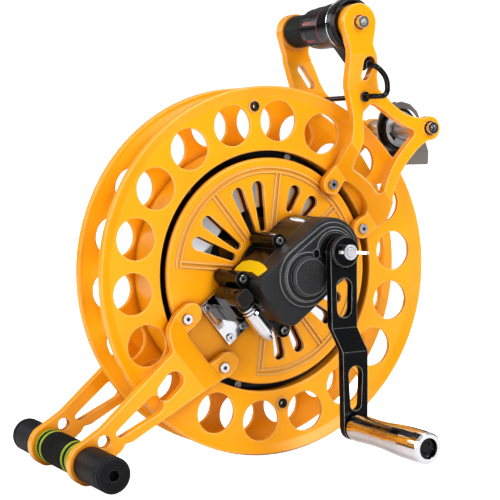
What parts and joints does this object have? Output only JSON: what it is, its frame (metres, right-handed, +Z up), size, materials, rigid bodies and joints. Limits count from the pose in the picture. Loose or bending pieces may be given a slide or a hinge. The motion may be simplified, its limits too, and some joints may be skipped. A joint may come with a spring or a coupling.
{
  "type": "kite line winder",
  "caption": "Hand-held line winder: a large perforated spool in a slanted frame, with an offset geared crank, a twist-grip brake handle, a foot bar and a sheave line guide.",
  "frame": {"origin": "on the ground, under the middle of the overall box", "axes": "+Z up, +Y from the crank side to the far side along the spool's axis, +X from the foot bar towards the line guide"},
  "size_m": [0.3818, 0.3118, 0.3965],
  "materials": {
    "orange_plastic": "satin golden orange moulded plastic",
    "orange_alloy": "satin golden orange coated cast alloy",
    "black_gloss": "glossy black coated cast alloy",
    "dark_grey": "fine textured dark grey coated cast alloy",
    "black_satin": "satin black coated alloy",
    "black_plastic": "satin black moulded plastic",
    "black_rubber": "matte black rubber",
    "dark_rubber": "matte dark grey rubber",
    "black_foam": "matte black closed-cell foam",
    "lime_stripe": "matte lime yellow",
    "red_plastic": "glossy dark red plastic",
    "polished_steel": "polished plated steel",
    "polished_alloy": "polished plated alloy",
    "plain_steel": "fine brushed steel",
    "grey_alloy": "plain machined alloy",
    "brass_gold": "golden anodised alloy",
    "yellow_label": "plain yellow film",
    "spring_wire": "spring steel",
    "friction_lining": "matte brown friction material"
  },
  "bodies": {
    "frame": {"near_upper_arm": "orange_alloy", "far_upper_arm": "orange_alloy", "near_lower_arm": "orange_alloy", "far_lower_arm": "orange_alloy", "arm_screws": "polished_steel", "handle_tube": "grey_alloy", "handle_bolt": "polished_steel", "axle_nuts": "polished_steel", "handle_grip": "black_rubber", "shifter_trim": "polished_alloy", "shifter_body": "black_plastic", "brake_cable": "black_rubber", "cable_fittings": "black_satin", "brake_pivot_pin": "plain_steel", "main_bearings": "plain_steel", "back_cap": "black_plastic", "gearbox_body": "black_gloss", "gearbox_cover": "dark_grey", "gearbox_screws": "polished_steel", "side_label": "yellow_label", "crank_bearings": "plain_steel", "stop_plate": "polished_steel", "stop_plate_screws": "plain_steel", "stop_block": "black_gloss", "stop_spring": "spring_wire", "foot_tube": "plain_steel", "foot_foam": "black_foam", "foam_stripes": "lime_stripe", "foot_grips": "dark_rubber", "foot_caps": "dark_rubber", "guide_axle": "polished_steel", "guide_spacers": "grey_alloy", "front_cover": "orange_plastic", "back_cover": "orange_plastic"},
    "spool": {"spool_front_flange": "orange_plastic", "spool_back_flange": "orange_plastic", "spool_drum": "orange_plastic", "spool_spider": "black_plastic", "spider_screws": "plain_steel", "polished_ring": "polished_steel", "brake_drum": "grey_alloy", "spool_shaft": "plain_steel", "spool_gear": "plain_steel"},
    "crank": {"crank_gear": "plain_steel", "crank_shaft": "polished_steel", "crank_collars": "black_satin", "crank_arm": "black_satin", "crank_wing_nut": "polished_steel", "knob_spindle": "plain_steel", "knob_retainer": "black_plastic"},
    "knob": {"crank_knob": "polished_alloy"},
    "twist_grip": {"twist_barrel": "black_plastic", "barrel_liner": "red_plastic"},
    "shoe": {"brake_shoe": "grey_alloy", "brake_lining": "friction_lining"},
    "stop": {"stop_knob": "polished_alloy"},
    "guide": {"guide_guard": "plain_steel", "guide_roller": "black_plastic"},
    "sheave": {"guide_sheave": "polished_alloy", "sheave_tyre": "black_plastic"}
  },
  "joints": [
    {"name": "spool_spin", "type": "hinge", "parent": "frame", "child": "spool", "pos_m": [0.00791, 0.06115, 0.16], "axis": [0, 1, 0], "continuous": true},
    {"name": "crank_turn", "type": "hinge", "parent": "frame", "child": "crank", "pos_m": [0.03391, 0.00115, 0.18032], "axis": [0, 1, 0], "continuous": true},
    {"name": "knob_spin", "type": "hinge", "parent": "crank", "child": "knob", "pos_m": [0.03391, -0.09885, 0.03632], "axis": [0, 1, 0], "continuous": true},
    {"name": "brake_twist", "type": "hinge", "parent": "frame", "child": "twist_grip", "pos_m": [0.08109, 0.06115, 0.37351], "axis": [0, 1, 0], "range_deg": [0, 75]},
    {"name": "shoe_swing", "type": "hinge", "parent": "frame", "child": "shoe", "pos_m": [-0.03919, 0.06815, 0.12615], "axis": [0, -1, 0], "range_deg": [0, 0.65]},
    {"name": "stop_pull", "type": "slide", "parent": "frame", "child": "stop", "axis": [0.6148, -0.0523, -0.7869], "range_m": [0, 0.004], "stiffness_N_per_m": 450, "springref_m": -0.003, "deforming": ["stop_spring"]},
    {"name": "guide_tilt", "type": "hinge", "parent": "frame", "child": "guide", "pos_m": [0.16241, 0.06115, 0.28259], "axis": [0, 1, 0], "range_deg": [-45, 45]},
    {"name": "sheave_spin", "type": "hinge", "parent": "frame", "child": "sheave", "pos_m": [0.16241, 0.06115, 0.28259], "axis": [0, 1, 0], "continuous": true}
  ],
  "couplings": [
    {"joint": "crank_turn", "follows": "spool_spin", "ratio": -0.5},
    {"joint": "shoe_swing", "follows": "brake_twist", "ratio": 0.0086658}
  ]
}
